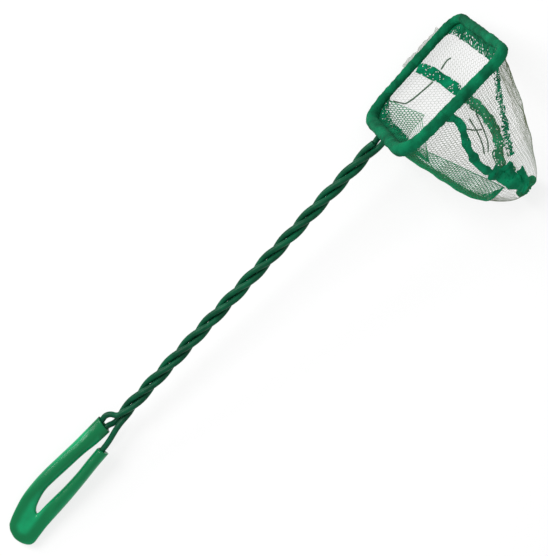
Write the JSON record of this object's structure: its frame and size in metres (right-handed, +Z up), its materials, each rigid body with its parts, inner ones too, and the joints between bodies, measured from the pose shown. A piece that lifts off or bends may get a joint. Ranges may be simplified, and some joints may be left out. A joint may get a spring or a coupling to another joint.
{
  "type": "aquarium fish net",
  "caption": "Small aquarium fish net: a fine mesh bag hemmed round a rectangular coated-wire mouth, with a twisted wire handle and a sleeved hanging loop.",
  "frame": {"origin": "on the table under the middle of the part's box, with the net lying as pictured", "axes": "+X along the handle from the hanging loop towards the mouth's tip, +Y out of the mouth across the table, +Z up"},
  "size_m": [0.3258, 0.085, 0.0783],
  "materials": {
    "coated_wire": "steel wire in a satin dark green plastic coat",
    "sleeve": "glossy soft green vinyl tube",
    "hem": "folded and sewn green nylon net",
    "net": "fine see-through green nylon mesh",
    "seam": "bunched green nylon net and thread"
  },
  "bodies": {
    "root": {"wire_frame": "coated_wire", "loop_sleeve": "sleeve", "hem_handle_far": "hem", "hem_tip": "hem", "hem_handle_near": "hem", "net_panel_handle": "net", "net_panel_tip": "net", "seam_near": "seam", "seam_far": "seam", "seam_gather": "seam"}
  },
  "joints": []
}
